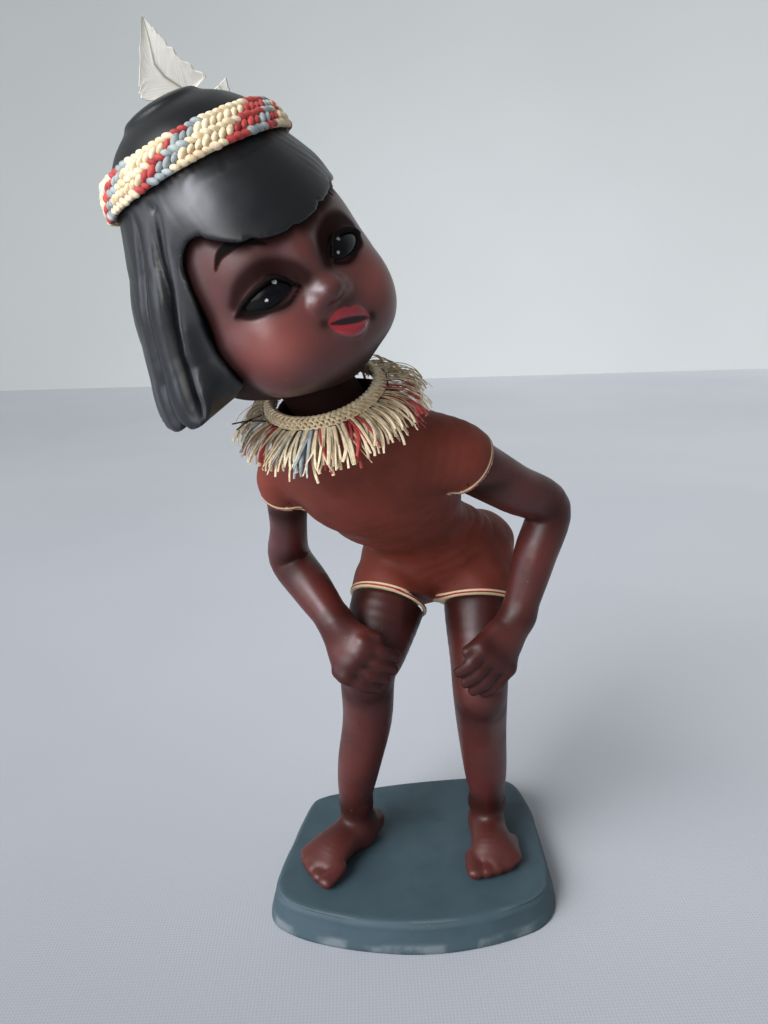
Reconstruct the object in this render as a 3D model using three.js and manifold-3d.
// Ceramic figurine of a doll that leans forward with its hands on its knees.
// Millimetres, +Z up, the doll faces -Y, the origin is under the middle of the base.
import * as THREE from 'three';
import { mergeVertices } from 'three/addons/utils/BufferGeometryUtils.js';
import Module from 'manifold-3d';

const wasm = await Module();
wasm.setup();

const at = (x, y, z) => new THREE.Vector3(x, y, z);

// Running and seating gaps
const seatGap = 0.3;
const slipGap = 0.3;

// Base block
const baseHalfWidth = 38.3;
const baseHalfDepth = 31.6;
const baseHeight = 8;
const baseEdgeRound = 2.2;
const baseDraft = 1.4;

// Outline of the base as shares of its half width and half depth, walked leftwards round the back
const baseOutline = [
  [1, 0.47], [0.94, 0.83], [0.82, 0.965], [0.666, 1], [0.43, 0.995], [0.117, 0.968], [-0.196, 0.918],
  [-0.51, 0.842], [-0.68, 0.788], [-0.786, 0.69], [-0.856, 0.411], [-0.916, 0.095], [-0.969, -0.222],
  [-1, -0.443], [-0.969, -0.601], [-0.88, -0.709], [-0.718, -0.816], [-0.496, -0.905], [-0.248, -0.968],
  [-0.013, -1], [0.235, -0.991], [0.483, -0.94], [0.718, -0.854], [0.843, -0.778], [0.932, -0.658],
  [0.984, -0.459], [0.997, -0.127], [1, 0.19],
];

// Place of the figure on the base
const figureAcross = 2.5;
const figureBack = 1;

// Feet, measured from the sole of each foot
const footWidth = 13;
const footHeight = 7.4;
const toeRadius = 1.75;
const toeRetreat = 0.3;
const pegRadius = 3;
const pegDepth = 5;

// Legs: joints in the figure's frame, whose floor is the sole of the feet
const leftHip = at(17.2, 10, 80.3);
const leftKnee = at(15.2, -10, 51.3);
const leftAnkle = at(18.9, 0, 13.3);
const leftToe = at(19.2, -16.6, 2.6);
const rightHip = at(-3.2, 10, 79.8);
const rightKnee = at(-12.9, -10, 57.5);
const rightAnkle = at(-17.4, 0, 14.6);
const rightToe = at(-30, -13.6, 2.6);
const leftThighRadius = 8.9;
const rightThighRadius = 9.6;
const kneeRadius = 6.9;
const calfRadius = 6.8;
const ankleRadius = 4.8;
const heelReach = 6;
const hemDrop = 13;
const legTenonRadius = 5;
const legTenonDepth = 7;

// Torso: sections from the crotch to the neck opening
const crotch = at(7.2, 7.5, 76.5);
const pelvis = at(6.8, 9.2, 80.4);
const waist = at(0.5, 0.5, 92.5);
const ribs = at(-5.5, -9.5, 101.5);
const chest = at(-10, -17.5, 109);
const yoke = at(-15.2, -25.5, 118.6);
const pelvisHalfWidth = 18.6;
const pelvisHalfDepth = 10.6;
const waistHalfWidth = 13.2;
const waistHalfDepth = 9;
const ribsHalfWidth = 16;
const ribsHalfDepth = 10.8;
const chestHalfWidth = 18;
const chestHalfDepth = 12.2;
const yokeHalfWidth = 17;
const yokeHalfDepth = 12;
const castWall = 3.5;
const clothThickness = 0.8;

// Neck opening and the bore below it
const socketCentre = at(-19, -32, 128);
const socketNormal = at(-0.215, -0.37, 0.904).normalize();
const rimRadius = 11.2;
const cupRadius = 9.8;
const cupDepth = 7;
const boreAxis = at(-0.32, -0.46, 0.83).normalize();
const boreRadius = 6.2;
const boreDepth = 23;
const ventRadius = 3.6;

// Arms
const leftShoulder = at(6.3, -25, 115.4);
const leftElbow = at(30.9, -10, 98.4);
const leftWrist = at(23.6, -13.6, 72.8);
const rightShoulder = at(-29.4, -18.5, 110.4);
const rightElbow = at(-31.5, 0, 85);
const rightWrist = at(-20, -13.2, 72.2);
const leftUpperArmRadius = 6.2;
const rightUpperArmRadius = 4.9;
const forearmRadius = 5.1;
const wristRadius = 3.9;
const armholeDrop = 5.5;
const armTenonRadius = 2.6;
const armTenonDepth = 5;
const palmHalfWidth = 6.4;
const palmHalfThickness = 3.2;
const fingerRadius = 1.75;
const fingerLength = 9.5;

// Head, in its own frame: up the neck, front to -Y, level with the eyes
const headLean = at(-0.46, -0.16, 0.875).normalize();
const eyeLevel = 25.2;
const faceForward = 3.4;
const faceTurn = THREE.MathUtils.degToRad(30);
const neckRadius = 7.4;
const neckBoreRadius = 4.9;
const neckReach = 3;
const headWall = 3;
const eyeRadius = 3.5;
const eyeSpread = THREE.MathUtils.degToRad(22.5);
const eyeDistance = 17.4;
const noseReach = 23.4;
const noseDrop = 3.4;
const noseRadius = 2.6;
const lipReach = 19.6;
const lipDrop = 10;
const lipHalfWidth = 3.6;
const lipHeight = 1.9;

// Hair shell
const bobWall = 3.4;
const bangsHeight = 10;
const bangsRoll = THREE.MathUtils.degToRad(8);
const openingRight = THREE.MathUtils.degToRad(54);
const openingLeft = THREE.MathUtils.degToRad(98);
const bobFlare = 6.2;
const flarePlace = THREE.MathUtils.degToRad(165);
const bobLift = 4;
const liftPlace = THREE.MathUtils.degToRad(80);
const lobeCount = 5;
const lobeDepth = 1.6;
const lobeTurn = 2.53;
const lockCount = 13;
const lockDepth = 0.6;

// Headband and feathers
const bandHeight = 23.4;
const bandTilt = THREE.MathUtils.degToRad(5);
const bandRoll = THREE.MathUtils.degToRad(5);
const bandWidth = 6;
const bandThickness = 2;
const tieWidth = 5;
const tieThickness = 0.8;
const featherThickness = 0.6;
const quillWidth = 1.2;
const featherPlace = THREE.MathUtils.degToRad(42);
const smallFeatherPlace = THREE.MathUtils.degToRad(18);

// Spring and its plugs
const wireRadius = 0.45;
const coilRadius = 3.7;
const springCurls = 6;
const plugThickness = 4.6;

// Collar
const braidRadius = rimRadius;
const braidHalfWidth = 1.1;
const braidHalfHeight = 1.1;
const tapeHeight = 1.1;
const tapeThickness = 0.9;
const strandsPerLayer = 152;
const strandRadius = 0.18;
const strandLength = 10;
const strandLift = 0.75;
const strandFall = THREE.MathUtils.degToRad(60);
const strandHug = 1.6;
const sectorGap = 0.5;
const braidLevel = seatGap * 2 + tapeHeight + braidHalfHeight;
const threadRadius = 0.3;
const threadSwing = 0.25;
const threadClimb = THREE.MathUtils.degToRad(20);
const threadTail = 7;

// Colours from the photograph
const skinColour = 0x5a2b25;
const hairColour = 0x14171c;
const clothColour = 0x7a3322;
const baseColour = 0x4b5f66;
const raffiaColour = 0xd8c79c;
const featherColour = 0xb9b2a4;
const eyeColour = 0x0d0b0b;
const threadColour = 0x1c1c22;
const plugColour = 0xb98e5f;
const wireColour = 0x9a9ea2;

const catmull = (points) => new THREE.CatmullRomCurve3(points, false, 'catmullrom', 0.5);

// A closed skin from rings of equal length and one pole at each end
function skinOf(rings, firstPole, lastPole) {
  const sides = rings[0].length;
  const points = rings.flat();
  const index = [];
  for (let ring = 0; ring + 1 < rings.length; ring += 1) {
    for (let side = 0; side < sides; side += 1) {
      const a = ring * sides + side;
      const b = ring * sides + ((side + 1) % sides);
      index.push(a, b, b + sides, a, b + sides, a + sides);
    }
  }
  const first = points.push(firstPole) - 1;
  const last = points.push(lastPole) - 1;
  const lastRing = (rings.length - 1) * sides;
  for (let side = 0; side < sides; side += 1) {
    const next = (side + 1) % sides;
    index.push(first, next, side, last, lastRing + side, lastRing + next);
  }
  const geometry = new THREE.BufferGeometry().setFromPoints(points);
  geometry.setIndex(index);
  return geometry;
}

// A closed tube of three.js geometry becomes a solid for joining and cutting
function solidOf(source) {
  const bare = source.clone();
  bare.deleteAttribute('normal');
  bare.deleteAttribute('uv');
  const merged = mergeVertices(bare, 1e-4);
  return new wasm.Manifold(new wasm.Mesh({
    numProp: 3,
    vertProperties: Float32Array.from(merged.attributes.position.array),
    triVerts: Uint32Array.from(merged.index.array),
  }));
}

function geometryOf(solid) {
  const mesh = solid.getMesh();
  const geometry = new THREE.BufferGeometry();
  const positions = new Float32Array(mesh.vertProperties);
  geometry.setAttribute('position', new THREE.BufferAttribute(positions, 3));
  geometry.setIndex(new THREE.BufferAttribute(new Uint32Array(mesh.triVerts), 1));
  geometry.computeVertexNormals();
  return geometry;
}

// Matrix that puts local +Z along the axis and local +X as near the given side as it goes
function basisAt(origin, axis, side = at(1, 0, 0)) {
  const z = axis.clone().normalize();
  const x = side.clone().addScaledVector(z, -side.dot(z)).normalize();
  const y = z.clone().cross(x);
  return new THREE.Matrix4().makeBasis(x, y, z).setPosition(origin);
}

// Oval sections swept through stations {at, across, through}, grown outwards by a set amount
function sweep(stations, { lateral = at(1, 0, 0), steps = 12, sides = 16, grow = 0,
  roundStart = false, roundEnd = false, capRings = 3 } = {}) {
  const path = catmull(stations.map((station) => station.at));
  const sizes = catmull(stations.map((station) => at(station.across, station.through, 0)));
  const sectionAt = (t, scale, shift) => {
    const tangent = path.getTangent(t);
    const across = lateral.clone().addScaledVector(tangent, -lateral.dot(tangent)).normalize();
    const through = tangent.clone().cross(across);
    const size = sizes.getPoint(t);
    const centre = path.getPoint(t).addScaledVector(tangent, shift);
    const ring = [];
    for (let side = 0; side < sides; side += 1) {
      const angle = (side / sides) * 2 * Math.PI;
      ring.push(centre.clone()
        .addScaledVector(across, Math.cos(angle) * (size.x + grow) * scale)
        .addScaledVector(through, Math.sin(angle) * (size.y + grow) * scale));
    }
    return { ring, centre, tangent, reach: Math.min(size.x, size.y) + grow };
  };
  const rings = [];
  const cap = (t, direction) => {
    const { reach } = sectionAt(t, 1, 0);
    const list = [];
    for (let k = 1; k <= capRings; k += 1) {
      const angle = (k / (capRings + 1)) * (Math.PI / 2);
      list.push(sectionAt(t, Math.cos(angle), direction * reach * Math.sin(angle)).ring);
    }
    return { list, pole: sectionAt(t, 1, direction * reach).centre };
  };
  const startCap = roundStart ? cap(0, -1) : { list: [], pole: sectionAt(0, 1, 0).centre };
  const endCap = roundEnd ? cap(1, 1) : { list: [], pole: sectionAt(1, 1, 0).centre };
  rings.push(...startCap.list.reverse());
  for (let step = 0; step <= steps; step += 1) rings.push(sectionAt(step / steps, 1, 0).ring);
  rings.push(...endCap.list);
  return skinOf(rings, startCap.pole, endCap.pole);
}

// A round bar from one point to another
function bar(from, to, radius, sides = 14) {
  const along = to.clone().sub(from);
  const geometry = new THREE.CylinderGeometry(radius, radius, along.length(), sides);
  geometry.rotateX(Math.PI / 2);
  geometry.translate(0, 0, along.length() / 2);
  geometry.applyMatrix4(basisAt(from, along));
  return solidOf(geometry);
}

// A large block whose face lies on a plane and which fills the side the normal points to
function halfSpace(point, normal, size = 120) {
  const geometry = new THREE.BoxGeometry(size, size, size);
  geometry.translate(0, 0, size / 2);
  geometry.applyMatrix4(basisAt(point, normal));
  return solidOf(geometry);
}

function join(solids) {
  return solids.reduce((whole, solid) => whole.add(solid));
}

function named(name, shape, colour, roughness, metalness = 0) {
  const geometry = shape.isBufferGeometry ? shape : geometryOf(shape);
  const material = new THREE.MeshStandardMaterial({ color: colour, roughness, metalness });
  const mesh = new THREE.Mesh(geometry, material);
  mesh.name = name;
  return mesh;
}

// Base

function baseRing(z, inset) {
  const corners = baseOutline.map(([x, y]) => at(x * (baseHalfWidth - inset), y * (baseHalfDepth - inset), z));
  const sides = 44;
  return new THREE.CatmullRomCurve3(corners, true).getSpacedPoints(sides).slice(0, sides);
}

function makeBase(feet) {
  const rings = [baseRing(0, 0.6), baseRing(0.7, 0)];
  const steps = 4;
  for (let k = 0; k <= steps; k += 1) {
    const angle = (k / steps) * (Math.PI / 2);
    const inset = baseDraft + baseEdgeRound * (1 - Math.cos(angle));
    rings.push(baseRing(baseHeight - baseEdgeRound * (1 - Math.sin(angle)), inset));
  }
  const block = solidOf(skinOf(rings, at(0, 0, 0), at(0, 0, baseHeight)));
  const sockets = feet.map((foot) => {
    const mouth = at(foot.pegAt.x + figureAcross, foot.pegAt.y + figureBack, baseHeight);
    const floor = mouth.clone().setZ(baseHeight - pegDepth - seatGap);
    return bar(floor, mouth.setZ(baseHeight + 1), pegRadius + slipGap);
  });
  return sockets.reduce((solid, socket) => solid.subtract(socket), block);
}

// Legs

function makeLegPlan({ hip, knee, ankle, toe, thighRadius, inward }) {
  const thigh = knee.clone().sub(hip);
  const hem = hip.clone().addScaledVector(thigh.clone().normalize(), hemDrop);
  const forward = at(toe.x - ankle.x, toe.y - ankle.y, 0).normalize();
  const heel = at(ankle.x, ankle.y, 0).addScaledVector(forward, -heelReach).setZ(footHeight / 2);
  return {
    hip, knee, ankle, toe, thighRadius, inward, hem, forward, heel,
    down: thigh.normalize(),
    pegAt: at(ankle.x, ankle.y, 0).addScaledVector(forward, 2),
  };
}

function limbSkin(plan, grow) {
  const { hip, knee, ankle, thighRadius, forward } = plan;
  const between = (a, b, share) => a.clone().lerp(b, share);
  const calf = between(knee, ankle, 0.36).addScaledVector(forward, -1.6);
  const shin = between(knee, ankle, 0.72);
  const heelEnd = ankle.clone().setZ(3.4).addScaledVector(forward, -1.2);
  return solidOf(sweep([
    { at: hip.clone(), across: thighRadius + 0.4, through: thighRadius + 1 },
    { at: between(hip, knee, 0.4), across: thighRadius, through: thighRadius + 0.4 },
    { at: between(hip, knee, 0.78), across: thighRadius - 1.4, through: thighRadius - 1 },
    { at: knee, across: kneeRadius, through: kneeRadius },
    { at: calf, across: calfRadius - 0.4, through: calfRadius },
    { at: shin, across: ankleRadius + 0.9, through: ankleRadius + 1.1 },
    { at: ankle, across: ankleRadius - 0.2, through: ankleRadius + 0.3 },
    { at: heelEnd, across: ankleRadius - 0.2, through: ankleRadius + 0.8 },
  ], { steps: 15, sides: 12, grow, roundEnd: true, capRings: 2 }));
}

function makeFoot({ ankle, toe, heel, forward, inward }) {
  const side = forward.clone().cross(at(0, 0, 1));
  const ball = toe.clone().addScaledVector(forward, -4.6).setZ(2.6);
  const instep = ankle.clone().lerp(toe, 0.45).setZ(4.2);
  const sole = sweep([
    { at: heel, across: footWidth * 0.29, through: footHeight * 0.5 },
    { at: ankle.clone().setZ(4.6), across: footWidth * 0.35, through: 4.6 },
    { at: instep, across: footWidth * 0.42, through: 4.2 },
    { at: ball, across: footWidth * 0.52, through: 2.7 },
    { at: toe.clone().addScaledVector(forward, -3), across: footWidth * 0.44, through: 1.9 },
  ], { lateral: side, steps: 7, sides: 12, roundStart: true, roundEnd: true, capRings: 2 });
  const toes = [];
  for (let k = 0; k < 5; k += 1) {
    const across = (2 - k) * footWidth * 0.22 * inward;
    const tip = toe.clone().addScaledVector(side, across)
      .addScaledVector(forward, -k * k * toeRetreat).setZ(toeRadius);
    const root = tip.clone().addScaledVector(forward, -5).setZ(toeRadius + 0.8);
    toes.push(solidOf(sweep([
      { at: root, across: toeRadius, through: toeRadius },
      { at: tip, across: toeRadius * 0.85, through: toeRadius * 0.85 },
    ], { lateral: side, steps: 1, sides: 6, roundEnd: true, capRings: 1 })));
  }
  return join([solidOf(sole), ...toes]);
}

function makeLeg(plan) {
  const { hem, down, pegAt } = plan;
  const shank = limbSkin(plan, 0).subtract(halfSpace(hem, down.clone().negate()));
  const flesh = join([shank, makeFoot(plan)]).subtract(halfSpace(at(0, 0, 0), at(0, 0, -1)));
  const tenonEnd = hem.clone().addScaledVector(down, -legTenonDepth);
  const tenon = bar(hem.clone().addScaledVector(down, 2), tenonEnd, legTenonRadius);
  const peg = bar(pegAt.clone().setZ(3), pegAt.clone().setZ(-seatGap - pegDepth), pegRadius);
  return join([flesh, tenon, peg]);
}

// Torso with its moulded playsuit

function trunkSkin(grow) {
  const lateral = leftShoulder.clone().sub(rightShoulder).normalize();
  const neck = socketCentre.clone().addScaledVector(socketNormal, -5);
  return solidOf(sweep([
    { at: crotch, across: pelvisHalfWidth * 0.55, through: pelvisHalfDepth * 0.7 },
    { at: pelvis, across: pelvisHalfWidth, through: pelvisHalfDepth },
    { at: waist, across: waistHalfWidth, through: waistHalfDepth },
    { at: ribs, across: ribsHalfWidth, through: ribsHalfDepth },
    { at: chest, across: chestHalfWidth, through: chestHalfDepth },
    { at: yoke, across: yokeHalfWidth, through: yokeHalfDepth },
    { at: neck, across: rimRadius, through: rimRadius },
    { at: socketCentre, across: rimRadius, through: rimRadius },
  ], { lateral, steps: 16, sides: grow < 0 ? 12 : 18, grow, roundStart: true, capRings: 2 }));
}

function armholeOf({ shoulder, elbow }) {
  const down = elbow.clone().sub(shoulder).normalize();
  return { down, hole: shoulder.clone().addScaledVector(down, armholeDrop) };
}

function makeTorso(legs, arms) {
  const outer = [trunkSkin(0)];
  for (const leg of legs) {
    const radius = leg.thighRadius + clothThickness;
    outer.push(solidOf(sweep([
      { at: leg.hip.clone().addScaledVector(leg.down, -3), across: radius, through: radius + 1 },
      { at: leg.hip.clone().lerp(leg.hem, 0.6), across: radius, through: radius + 0.6 },
      { at: leg.hem.clone().addScaledVector(leg.down, -seatGap), across: radius, through: radius + 0.4 },
    ], { steps: 3, sides: 14, roundStart: true, capRings: 2 })));
  }
  for (const arm of arms) {
    const { down, hole } = armholeOf(arm);
    const radius = arm.upperRadius + clothThickness;
    const inner = yoke.clone().lerp(arm.shoulder, 0.45);
    outer.push(solidOf(sweep([
      { at: inner, across: radius + 2.4, through: radius + 2.4 },
      { at: arm.shoulder, across: radius + 0.6, through: radius + 0.6 },
      { at: hole.clone().addScaledVector(down, -seatGap), across: radius, through: radius },
    ], { lateral: socketNormal, steps: 4, sides: 12, roundStart: true, capRings: 2 })));
  }
  const planeCuts = [halfSpace(socketCentre, socketNormal, 60)];
  const cupFloor = socketCentre.clone().addScaledVector(socketNormal, -cupDepth);
  const mouth = socketCentre.clone().addScaledVector(socketNormal, 2);
  const below = (depth) => socketCentre.clone().addScaledVector(boreAxis, -depth);
  const bores = [
    bar(cupFloor, mouth, cupRadius, 24),
    bar(below(boreDepth), socketCentre, boreRadius, 14),
    bar(below(boreDepth + castWall + 6), socketCentre, ventRadius, 8),
  ];
  for (const leg of legs) {
    const end = leg.hem.clone().addScaledVector(leg.down, -legTenonDepth - seatGap);
    bores.push(bar(leg.hem.clone().addScaledVector(leg.down, 2), end, legTenonRadius + slipGap));
  }
  for (const arm of arms) {
    const { down, hole } = armholeOf(arm);
    const end = hole.clone().addScaledVector(down, -armTenonDepth - seatGap);
    bores.push(bar(hole.clone().addScaledVector(down, 2), end, armTenonRadius + slipGap));
  }
  const cavity = trunkSkin(-castWall).subtract(halfSpace(below(boreDepth + castWall), boreAxis));
  const armRooms = arms.map((arm) => armSkin(arm, seatGap));
  const cuts = [...planeCuts, ...bores, cavity, ...armRooms];
  return cuts.reduce((solid, cut) => solid.subtract(cut), join(outer));
}

// Arms with the hands resting on the knees

function handOn(leg, { wrist, palmTowards, fingersAlong, outOfKnee }) {
  const seat = leg.knee.clone().add(palmTowards);
  const line = fingersAlong.clone().normalize();
  const acrossKnee = outOfKnee.clone().normalize();
  const side = line.clone().cross(acrossKnee).normalize();
  const palm = sweep([
    { at: wrist, across: wristRadius, through: wristRadius },
    { at: wrist.clone().lerp(seat, 0.5), across: palmHalfWidth * 0.85, through: palmHalfThickness },
    { at: seat, across: palmHalfWidth, through: palmHalfThickness * 0.9 },
  ], { lateral: side, steps: 4, sides: 12, roundEnd: true, capRings: 2 });
  const parts = [solidOf(palm)];
  for (let k = 0; k < 4; k += 1) {
    const shift = (k - 1.5) * (palmHalfWidth * 0.5);
    const knuckle = seat.clone().addScaledVector(side, shift);
    const reach = fingerLength * (1 - Math.abs(k - 1.3) * 0.12);
    const middle = knuckle.clone().addScaledVector(line, reach * 0.55).addScaledVector(acrossKnee, 0.4);
    const tip = knuckle.clone().addScaledVector(line, reach).addScaledVector(acrossKnee, -2.4);
    parts.push(solidOf(sweep([
      { at: knuckle, across: fingerRadius, through: fingerRadius },
      { at: middle, across: fingerRadius, through: fingerRadius },
      { at: tip, across: fingerRadius * 0.8, through: fingerRadius * 0.8 },
    ], { lateral: side, steps: 3, sides: 7, roundEnd: true, capRings: 1 })));
  }
  const thumbRoot = wrist.clone().lerp(seat, 0.45).addScaledVector(side, palmHalfWidth * 0.5 * leg.inward);
  const thumbTip = seat.clone().addScaledVector(side, (palmHalfWidth + 2.6) * leg.inward)
    .addScaledVector(acrossKnee, -0.6);
  parts.push(solidOf(sweep([
    { at: thumbRoot, across: fingerRadius * 1.15, through: fingerRadius * 1.15 },
    { at: thumbTip, across: fingerRadius, through: fingerRadius },
  ], { lateral: acrossKnee, steps: 2, sides: 7, roundStart: true, roundEnd: true, capRings: 1 })));
  return join(parts);
}

// The arm from its armhole to the wrist, without the hand
function armSkin(arm, grow) {
  const { shoulder, elbow, wrist, upperRadius } = arm;
  const { down, hole } = armholeOf(arm);
  const between = (a, b, share) => a.clone().lerp(b, share);
  const limb = solidOf(sweep([
    { at: hole, across: upperRadius, through: upperRadius },
    { at: between(shoulder, elbow, 0.6), across: upperRadius - 0.6, through: upperRadius - 0.5 },
    { at: elbow, across: forearmRadius, through: forearmRadius + 0.2 },
    { at: between(elbow, wrist, 0.45), across: forearmRadius, through: forearmRadius },
    { at: wrist, across: wristRadius, through: wristRadius },
  ], { lateral: at(0, 1, 0), steps: 12, sides: 11, grow, roundEnd: true, capRings: 1 }));
  const end = hole.clone().addScaledVector(down, -grow);
  return limb.subtract(halfSpace(end, down.clone().negate(), 30));
}

function makeArm(arm, leg) {
  const { down, hole } = armholeOf(arm);
  const tenon = bar(hole.clone().addScaledVector(down, 2),
    hole.clone().addScaledVector(down, -armTenonDepth), armTenonRadius, 12);
  return join([armSkin(arm, 0), tenon, handOn(leg, arm)]).subtract(limbSkin(leg, seatGap));
}

// Head and hair share these half breadths: height above the eyes, side, front, back
const headSections = [
  [-19, 6, 14.6, 4],
  [-17.4, 10.4, 17.4, 7.6],
  [-14, 15.6, 19.8, 11],
  [-9, 19.3, 21, 14.6],
  [-4, 20.2, 20.8, 17],
  [1, 19.8, 20, 18.4],
  [7, 19, 20, 18.8],
  [13, 17.2, 18.4, 17.6],
  [18, 15.4, 16.2, 15.6],
  [23.4, 12.8, 13.2, 13.2],
  [27.6, 9.6, 9.8, 10.2],
  [30.4, 5.8, 5.8, 6.2],
];
const headCrown = 31.8;

function headRing([height, side, front, back], grow, sides) {
  const ring = [];
  for (let k = 0; k < sides; k += 1) {
    const angle = (k / sides) * 2 * Math.PI;
    const ahead = Math.sin(angle) < 0 ? front : back;
    ring.push(at((side + grow) * Math.cos(angle), (ahead + grow) * Math.sin(angle), height));
  }
  return ring;
}

function skullSkin(grow, sides = 24) {
  const rings = headSections.map((section) => headRing(section, grow, sides));
  const low = headSections[0];
  const chin = at(0, (low[3] - low[2]) / 2, low[0] - 0.6 - grow);
  return solidOf(skinOf(rings, chin, at(0, 0, headCrown + grow)));
}

function ball(centre, radius, squash = at(1, 1, 1), detail = [14, 10]) {
  const geometry = new THREE.SphereGeometry(radius, detail[0], detail[1]);
  geometry.scale(squash.x, squash.y, squash.z);
  geometry.translate(centre.x, centre.y, centre.z);
  return solidOf(geometry);
}

function eyeCentre(hand) {
  return at(hand * eyeDistance * Math.sin(eyeSpread), -eyeDistance * Math.cos(eyeSpread), 0);
}

function makeHead() {
  const neckEnd = -eyeLevel - neckReach;
  const neckTop = at(0, faceForward, -10);
  const outer = join([
    skullSkin(0),
    bar(at(0, faceForward, neckEnd), neckTop, neckRadius, 20),
    ball(at(0, -eyeDistance, -noseDrop), noseRadius, at(1.25, (noseReach - eyeDistance) / noseRadius, 0.9)),
    ball(at(0, -lipReach, -lipDrop), lipHeight, at(lipHalfWidth / lipHeight, 1.1, 1)),
  ]);
  const bore = bar(at(0, faceForward, neckEnd - 1), neckTop, neckBoreRadius, 14);
  const inner = skullSkin(-headWall, 14).add(bore);
  const sockets = [-1, 1].map((hand) => ball(eyeCentre(hand), eyeRadius + seatGap));
  return sockets.reduce((solid, socket) => solid.subtract(socket), outer.subtract(inner));
}

function makeEye(hand) {
  const shell = ball(eyeCentre(hand), eyeRadius);
  const flush = skullSkin(0.15);
  return shell.intersect(flush).subtract(skullSkin(-headWall + 0.6, 18));
}

// Hair: height above the eyes and radius of the outer surface, at the sides and in front
const hairSections = [
  [-10.6, 23.2, 23.2],
  [-7, 23.4, 23.4],
  [-3, 23, 23],
  [2, 22.4, 22],
  [8, 21.6, 21],
  [13, 20, 19.6],
  [17.6, 17.8, 17.8],
  [21, 16.2, 16.2],
  [26, 14.4, 14.4],
  [29.8, 11.2, 11.2],
  [32.4, 7.2, 7.2],
];
const hairCrown = 34.2;

function hairSkin(grow, sides = 28) {
  const rings = hairSections.map(([height, radius, frontRadius], row) => {
    const lockShare = Math.max(0, 1 - row / 5);
    const ring = [];
    for (let k = 0; k < sides; k += 1) {
      const angle = (k / sides) * 2 * Math.PI;
      const wave = lockDepth * lockShare * Math.cos(angle * lockCount);
      const flare = bobFlare * lockShare * Math.max(0, Math.cos(angle - flarePlace));
      const ahead = Math.max(0, -Math.sin(angle));
      const reach = THREE.MathUtils.lerp(radius, frontRadius, ahead) + grow + wave + flare;
      const lift = bobLift * lockShare * Math.max(0, Math.cos(angle - liftPlace));
      const hem = row === 0 ? -grow - lobeDepth * Math.cos(angle * lobeCount + lobeTurn) : 0;
      ring.push(at(reach * Math.cos(angle), reach * Math.sin(angle), height + lift + hem));
    }
    return ring;
  });
  const low = at(0, 0, hairSections[0][0] - grow);
  return solidOf(skinOf(rings, low, at(0, 0, hairCrown + grow)));
}

function makeHair() {
  const skull = skullSkin(seatGap);
  const hollow = hairSkin(-bobWall, 28).subtract(halfSpace(at(0, 0, 3), at(0, 0, 1)));
  const below = bar(at(0, 0, -40), at(0, 0, -5), 19, 20);
  const opening = new THREE.Shape();
  const far = 60;
  opening.moveTo(0, 0);
  opening.lineTo(-far * Math.sin(openingRight), -far * Math.cos(openingRight));
  opening.lineTo(0, -far * 1.5);
  opening.lineTo(far, -far);
  opening.lineTo(far * Math.sin(openingLeft), -far * Math.cos(openingLeft));
  const wedge = new THREE.ExtrudeGeometry(opening, { depth: 40, bevelEnabled: false });
  wedge.translate(0, 0, -40);
  wedge.rotateY(bangsRoll);
  wedge.translate(0, 0, bangsHeight);
  return hairSkin(0).subtract(skull).subtract(hollow).subtract(solidOf(wedge)).subtract(below);
}

// Headband, tie and feathers

function bandFrame() {
  const tilt = new THREE.Matrix4().makeRotationX(-bandTilt);
  return new THREE.Matrix4().makeRotationY(bandRoll).multiply(tilt).setPosition(0, 0, bandHeight);
}

function slab(width) {
  const geometry = new THREE.BoxGeometry(90, 90, width);
  geometry.applyMatrix4(bandFrame());
  return solidOf(geometry);
}

function featherShape(outline) {
  const shape = new THREE.Shape(outline.map(([x, z]) => new THREE.Vector2(x, z)));
  const geometry = new THREE.ExtrudeGeometry(shape, { depth: featherThickness, bevelEnabled: false });
  geometry.translate(0, 0, -featherThickness / 2);
  geometry.rotateX(Math.PI / 2);
  return solidOf(geometry);
}

const largeFeather = [
  [-0.6, -4], [0.6, -4], [0.6, 12.4], [5.1, 13.4], [3.3, 17.7], [2.8, 21.3], [2.2, 26.2], [-1.4, 22.9],
  [-6.3, 18], [-7.4, 16.4], [-4.1, 13.5], [-0.6, 12.7],
];
const smallFeather = [[-0.6, -4], [0.6, -4], [0.8, 7], [3.6, 11], [-1.6, 10.6], [-0.7, 7]];

// Radius of the hair at a height, and how far its surface leans in there
function hairAt(height) {
  const level = Math.max(1, hairSections.findIndex(([rowHeight]) => rowHeight >= height));
  const [lowHeight, lowRadius] = hairSections[level - 1];
  const [highHeight, highRadius] = hairSections[level];
  const share = (height - lowHeight) / (highHeight - lowHeight);
  return {
    radius: THREE.MathUtils.lerp(lowRadius, highRadius, share),
    lean: Math.atan2(lowRadius - highRadius, highHeight - lowHeight),
  };
}

// Frame in the middle of the band's wall: +Y away from the hair, +Z up along the hair
function bandSpot(angle) {
  const frame = bandFrame();
  const direction = at(Math.cos(angle), Math.sin(angle), 0);
  const spot = at(0, 0, 0);
  let reach = hairAt(bandHeight).radius;
  for (let pass = 0; pass < 8; pass += 1) {
    spot.copy(direction).multiplyScalar(reach).applyMatrix4(frame);
    reach += hairAt(spot.z).radius - Math.hypot(spot.x, spot.y);
  }
  const { lean } = hairAt(spot.z);
  const out = direction.clone().multiplyScalar(Math.cos(lean)).setZ(Math.sin(lean));
  const up = direction.clone().multiplyScalar(-Math.sin(lean)).setZ(Math.cos(lean));
  const side = out.clone().cross(up);
  spot.addScaledVector(out, seatGap + bandThickness / 2);
  return new THREE.Matrix4().makeBasis(side, out, up).setPosition(spot);
}

function featherAt(outline, angle) {
  return solidOf(geometryOf(featherShape(outline)).applyMatrix4(bandSpot(angle)));
}

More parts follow.
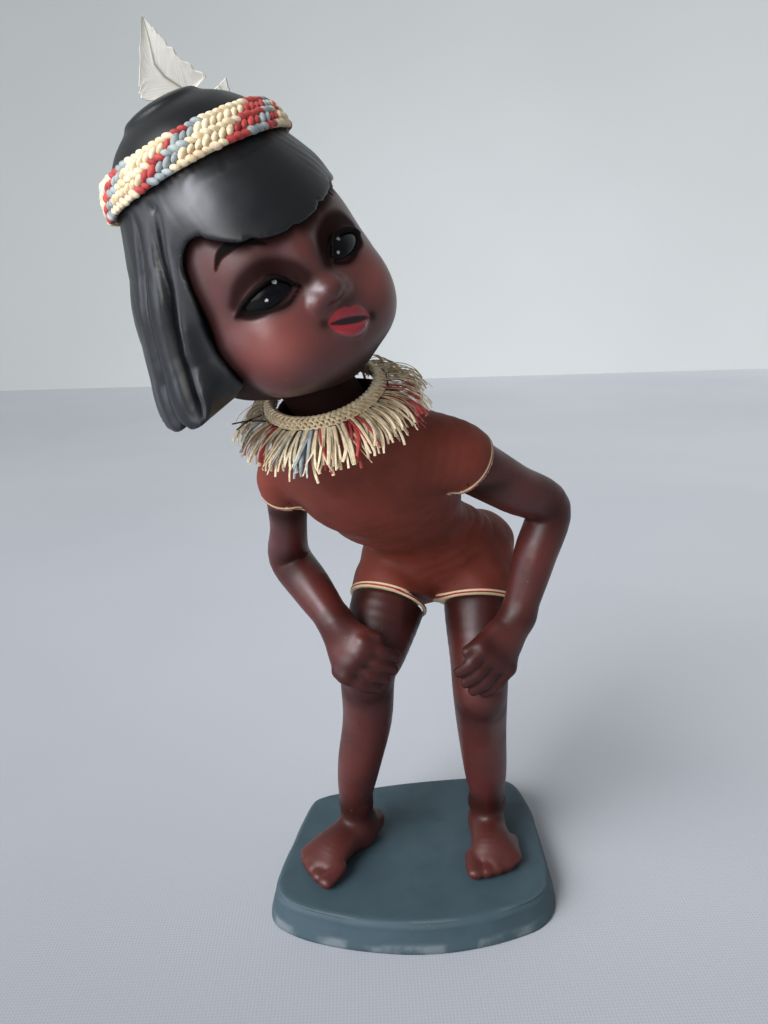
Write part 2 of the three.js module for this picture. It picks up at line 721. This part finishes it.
// Slot in the band for a feather's quill
function quillSlot(angle) {
  const width = quillWidth + 2 * slipGap;
  const slot = new THREE.BoxGeometry(width, featherThickness + 2 * slipGap, 3 * bandWidth);
  return solidOf(slot.applyMatrix4(bandSpot(angle)));
}

function makeBand(feathers) {
  const ring = hairSkin(seatGap + bandThickness, 40).intersect(slab(bandWidth));
  const hugged = ring.subtract(hairSkin(seatGap, 40));
  return feathers.reduce((solid, angle) => solid.subtract(quillSlot(angle)), hugged);
}

function makeTie() {
  const low = bandThickness + 2 * seatGap;
  const shell = hairSkin(low + tieThickness, 40).subtract(hairSkin(low, 40));
  const patch = new THREE.BoxGeometry(tieWidth, 30, bandWidth);
  patch.translate(0, 25, 0);
  patch.applyMatrix4(bandFrame());
  return shell.intersect(solidOf(patch));
}

// Spring and plugs

function springPath(from, fromNormal, to, toNormal) {
  const reach = from.distanceTo(to) / 3;
  return new THREE.CubicBezierCurve3(from, from.clone().addScaledVector(fromNormal, reach),
    to.clone().addScaledVector(toNormal, -reach), to);
}

function makeSpring(path) {
  const stepsPerCurl = 8;
  const wireSides = 5;
  const count = springCurls * stepsPerCurl;
  const centres = [];
  const side = at(1, 0, 0);
  for (let k = 0; k <= count; k += 1) {
    const t = k / count;
    const basis = basisAt(path.getPoint(t), path.getTangent(t), side);
    const angle = t * springCurls * 2 * Math.PI;
    centres.push(at(coilRadius * Math.cos(angle), coilRadius * Math.sin(angle), 0).applyMatrix4(basis));
  }
  const rings = centres.map((centre, k) => {
    const ahead = centres[Math.min(k + 1, count)];
    const behind = centres[Math.max(k - 1, 0)];
    const middle = path.getPoint(k / count);
    const out = centre.clone().sub(middle).normalize();
    const basis = basisAt(centre, ahead.clone().sub(behind), out);
    const ring = [];
    for (let s = 0; s < wireSides; s += 1) {
      const angle = (s / wireSides) * 2 * Math.PI;
      ring.push(at(wireRadius * Math.cos(angle), wireRadius * Math.sin(angle), 0).applyMatrix4(basis));
    }
    return ring;
  });
  let gap = Infinity;
  for (let a = 0; a <= count; a += 1) {
    for (let b = a + stepsPerCurl - 2; b <= count; b += 1) {
      gap = Math.min(gap, centres[a].distanceTo(centres[b]) - 2 * wireRadius);
    }
  }
  console.log(`neck spring: ${springCurls} curls, least gap between curls ${gap.toFixed(2)} mm`);
  return skinOf(rings, centres[0], centres[count]);
}

function makePlug(bottom, normal, radius) {
  return bar(bottom, bottom.clone().addScaledVector(normal, plugThickness), radius, 18);
}

// Collar: its frame has +Z along the neck opening's normal

function ringBody(radius, halfWidth, halfHeight, level, steps, sides, from = 0, to = 2 * Math.PI) {
  const closed = to - from >= 2 * Math.PI - 1e-6;
  const rings = [];
  const count = closed ? steps : steps + 1;
  for (let k = 0; k < count; k += 1) {
    const turn = from + ((to - from) * k) / steps;
    const ring = [];
    for (let s = 0; s < sides; s += 1) {
      const angle = (s / sides) * 2 * Math.PI;
      const reach = radius + halfWidth * Math.cos(angle);
      ring.push(at(reach * Math.cos(turn), reach * Math.sin(turn), level + halfHeight * Math.sin(angle)));
    }
    rings.push(ring);
  }
  if (!closed) {
    const pole = (turn) => at(radius * Math.cos(turn), radius * Math.sin(turn), level);
    return skinOf(rings.reverse(), pole(to), pole(from));
  }
  const points = rings.flat();
  const index = [];
  for (let k = 0; k < count; k += 1) {
    for (let s = 0; s < sides; s += 1) {
      const a = k * sides + s;
      const b = k * sides + ((s + 1) % sides);
      const c = ((k + 1) % count) * sides + ((s + 1) % sides);
      const d = ((k + 1) % count) * sides + s;
      index.push(a, c, b, a, d, c);
    }
  }
  const geometry = new THREE.BufferGeometry().setFromPoints(points);
  geometry.setIndex(index);
  return geometry;
}

// Triangles between two open polylines of vertex numbers, walked at an even pace
function stitch(upper, lower) {
  const index = [];
  let u = 0;
  let l = 0;
  while (u + 1 < upper.length || l + 1 < lower.length) {
    const upperShare = (u + 1) / (upper.length - 1);
    const lowerShare = (l + 1) / (lower.length - 1);
    const stepUpper = l + 1 >= lower.length || (u + 1 < upper.length && upperShare <= lowerShare);
    if (stepUpper) {
      index.push(upper[u], lower[l], upper[u + 1]);
      u += 1;
    } else {
      index.push(upper[u], lower[l], lower[l + 1]);
      l += 1;
    }
  }
  return index;
}

// Root, bend and tip of one strand: it falls outwards and then lies on the shoulders
function strandPath(root, turn, length, lift, torsoMesh, toFigure) {
  const toSocket = toFigure.clone().invert();
  const gravity = at(0, 0, -1).transformDirection(toSocket);
  const out = at(Math.cos(turn), Math.sin(turn), 0);
  const along = [root];
  const downhill = Math.max(0, out.dot(gravity));
  const spread = Math.cos(strandFall) * (1 - strandHug * downhill);
  for (const part of [0.5, 1]) {
    const point = root.clone()
      .addScaledVector(out, part * length * spread)
      .addScaledVector(gravity, part * length * Math.sin(strandFall));
    const above = point.clone().setZ(point.z + 40).applyMatrix4(toFigure);
    const ray = new THREE.Raycaster(above, socketNormal.clone().negate(), 0, 80);
    const hit = ray.intersectObject(torsoMesh)[0];
    if (hit) point.z = Math.max(point.z, hit.point.applyMatrix4(toSocket).z + lift);
    along.push(point);
  }
  return along;
}

// A quarter of the fringe: a slice of backing tape whose outer wall grows into strands.
// The wall is a strip of triangles, and each triangle is the root of one strand.
function makeFringe(sector, torsoMesh) {
  const quarter = Math.PI / 2;
  const outer = braidRadius + tapeThickness / 2;
  const inner = braidRadius - tapeThickness / 2;
  const margin = sectorGap / 2 / inner;
  const from = sector * quarter - quarter / 2 + margin;
  const span = quarter - 2 * margin;
  const perSector = strandsPerLayer / 4;
  const points = [];
  const rowOf = (radius, level, count, shift) => {
    const row = [];
    for (let k = 0; k < count; k += 1) {
      const share = (k + shift) / (count - 1 + 2 * shift);
      const turn = from + span * share;
      row.push(points.push(at(radius * Math.cos(turn), radius * Math.sin(turn), level)) - 1);
    }
    return row;
  };
  const top = seatGap + tapeHeight;
  const outerTop = rowOf(outer, top, perSector + 1, 0);
  const outerLow = rowOf(outer, seatGap, perSector, 0.5);
  const innerTop = rowOf(inner, top, 7, 0);
  const innerLow = rowOf(inner, seatGap, 7, 0);
  const lastTop = perSector;
  const lastLow = perSector - 1;
  const index = [
    ...stitch(innerTop, outerTop),
    ...stitch(outerLow, innerLow),
    ...stitch(innerLow, innerTop),
    outerTop[0], innerTop[0], outerLow[0],
    innerTop[0], innerLow[0], outerLow[0],
    outerTop[lastTop], outerLow[lastLow], innerTop[6],
    innerTop[6], outerLow[lastLow], innerLow[6],
  ];
  const toFigure = basisAt(socketCentre, socketNormal);
  const roots = [];
  for (let k = 0; k < perSector; k += 1) {
    roots.push({ corners: [outerTop[k], outerLow[k], outerTop[k + 1]], lift: strandLift * 2 });
    if (k < lastLow) {
      roots.push({ corners: [outerLow[k], outerLow[k + 1], outerTop[k + 1]], lift: strandLift });
    }
  }
  roots.forEach(({ corners, lift }, number) => {
    const root = corners.reduce((sum, c) => sum.add(points[c]), at(0, 0, 0)).divideScalar(3);
    const turn = Math.atan2(root.y, root.x);
    const length = strandLength * (1 + 0.1 * Math.sin(number * 2.4) + 0.06 * Math.sin(number * 5.1));
    const path = strandPath(root, turn, length, lift, torsoMesh, toFigure);
    let below = corners;
    path.slice(1).forEach((centre, row) => {
      const size = strandRadius * (1 - 0.2 * row);
      const ring = corners.map((corner) => {
        const away = points[corner].clone().sub(root).normalize();
        return points.push(centre.clone().addScaledVector(away, size)) - 1;
      });
      for (let side = 0; side < 3; side += 1) {
        const next = (side + 1) % 3;
        index.push(below[side], below[next], ring[next], below[side], ring[next], ring[side]);
      }
      below = ring;
    });
    index.push(...below);
  });
  const geometry = new THREE.BufferGeometry().setFromPoints(points);
  geometry.setIndex(index);
  return geometry;
}

function makeThread() {
  const steps = 72;
  const sides = 4;
  const apart = braidHalfWidth + seatGap + threadRadius;
  const aside = apart * Math.cos(threadClimb);
  const level = braidLevel + apart * Math.sin(threadClimb) + seatGap;
  const start = THREE.MathUtils.degToRad(205);
  const turns = 2 * Math.PI - 0.25;
  const centres = [];
  for (let k = 0; k <= steps; k += 1) {
    const turn = start + (turns * k) / steps;
    const reach = braidRadius + aside + threadSwing * (1 + Math.sin(k * 1.1));
    centres.push(at(reach * Math.cos(turn), reach * Math.sin(turn), level));
  }
  const tail = (turn, swing) => {
    const out = at(Math.cos(turn + swing), Math.sin(turn + swing), 0.12);
    return out.multiplyScalar(threadTail);
  };
  const first = centres[0].clone().add(tail(start, -0.5));
  const last = centres[steps].clone().add(tail(start + turns, 0.6));
  const path = [first, first.clone().lerp(centres[0], 0.5).add(at(0, 0, 0.4)), ...centres,
    centres[steps].clone().lerp(last, 0.5).add(at(0, 0, 0.5)), last];
  const rings = path.map((centre, k) => {
    const ahead = path[Math.min(k + 1, path.length - 1)];
    const behind = path[Math.max(k - 1, 0)];
    const basis = basisAt(centre, ahead.clone().sub(behind), at(0, 0, 1));
    const ring = [];
    for (let s = 0; s < sides; s += 1) {
      const angle = (s / sides) * 2 * Math.PI + Math.PI / 4;
      ring.push(at(threadRadius * Math.cos(angle), threadRadius * Math.sin(angle), 0).applyMatrix4(basis));
    }
    return ring;
  });
  return skinOf(rings, path[0], path[path.length - 1]);
}

// Assembly

const leftLeg = makeLegPlan({
  hip: leftHip, knee: leftKnee, ankle: leftAnkle, toe: leftToe, thighRadius: leftThighRadius,
  inward: 1,
});
const rightLeg = makeLegPlan({
  hip: rightHip, knee: rightKnee, ankle: rightAnkle, toe: rightToe, thighRadius: rightThighRadius,
  inward: -1,
});
const leftArm = {
  shoulder: leftShoulder, elbow: leftElbow, wrist: leftWrist, upperRadius: leftUpperArmRadius,
  palmTowards: at(1.8, -8.2, 13), fingersAlong: at(-0.56, -0.39, -0.73), outOfKnee: at(0.35, -0.93, 0.1),
};
const rightArm = {
  shoulder: rightShoulder, elbow: rightElbow, wrist: rightWrist, upperRadius: rightUpperArmRadius,
  palmTowards: at(-3, -8, 7.8), fingersAlong: at(0.86, -0.25, -0.44), outOfKnee: at(-0.15, -0.96, 0.25),
};
const legs = [leftLeg, rightLeg];
const arms = [leftArm, rightArm];

const figurine = new THREE.Group();
figurine.add(named('base', makeBase(legs), baseColour, 0.7));

const figure = new THREE.Group();
figure.position.set(figureAcross, figureBack, baseHeight + seatGap);
figurine.add(figure);
figure.add(named('left_leg', makeLeg(leftLeg), skinColour, 0.45));
figure.add(named('right_leg', makeLeg(rightLeg), skinColour, 0.45));
const torso = named('torso', makeTorso(legs, arms), clothColour, 0.6);
figure.add(torso);
figure.add(named('left_arm', makeArm(leftArm, leftLeg), skinColour, 0.45));
figure.add(named('right_arm', makeArm(rightArm, rightLeg), skinColour, 0.45));

const lowerPlugBottom = socketCentre.clone().addScaledVector(boreAxis, -boreDepth + seatGap);
const upperPlugBottom = socketCentre.clone().addScaledVector(headLean, -neckReach + 1);
const springBottom = lowerPlugBottom.clone()
  .addScaledVector(boreAxis, plugThickness + seatGap + wireRadius * 1.3);
const springTop = upperPlugBottom.clone().addScaledVector(headLean, -seatGap - wireRadius * 1.3);
figure.add(named('lower_spring_plug',
  makePlug(lowerPlugBottom, boreAxis, boreRadius - slipGap), plugColour, 0.9));
figure.add(named('upper_spring_plug',
  makePlug(upperPlugBottom, headLean, neckBoreRadius - slipGap), plugColour, 0.9));
figure.add(named('neck_spring',
  makeSpring(springPath(springBottom, boreAxis, springTop, headLean)), wireColour, 0.35, 1));

const collar = new THREE.Group();
basisAt(socketCentre, socketNormal).decompose(collar.position, collar.quaternion, collar.scale);
figure.add(collar);
collar.add(named('collar_braid',
  ringBody(braidRadius, braidHalfWidth, braidHalfHeight, braidLevel, 40, 8), raffiaColour, 0.9));
['left', 'back', 'right', 'front'].forEach((place, sector) => {
  collar.add(named(`collar_fringe_${place}`, makeFringe(sector, torso), raffiaColour, 0.9));
});
collar.add(named('collar_thread', makeThread(), threadColour, 0.8));

const head = new THREE.Group();
const faceSide = at(Math.cos(faceTurn), Math.sin(faceTurn), 0);
const neckSeat = basisAt(socketCentre, headLean, faceSide);
const headSeat = neckSeat.multiply(new THREE.Matrix4().makeTranslation(0, -faceForward, eyeLevel));
headSeat.decompose(head.position, head.quaternion, head.scale);
figure.add(head);
head.add(named('head', makeHead(), skinColour, 0.4));
head.add(named('hair', makeHair(), hairColour, 0.35));
head.add(named('left_eye', makeEye(1), eyeColour, 0.1));
head.add(named('right_eye', makeEye(-1), eyeColour, 0.1));
head.add(named('headband', makeBand([featherPlace, smallFeatherPlace]), raffiaColour, 0.9));
head.add(named('headband_tie', makeTie(), raffiaColour, 0.9));
head.add(named('feather_large', featherAt(largeFeather, featherPlace), featherColour, 0.8));
head.add(named('feather_small', featherAt(smallFeather, smallFeatherPlace), featherColour, 0.8));

export default figurine;
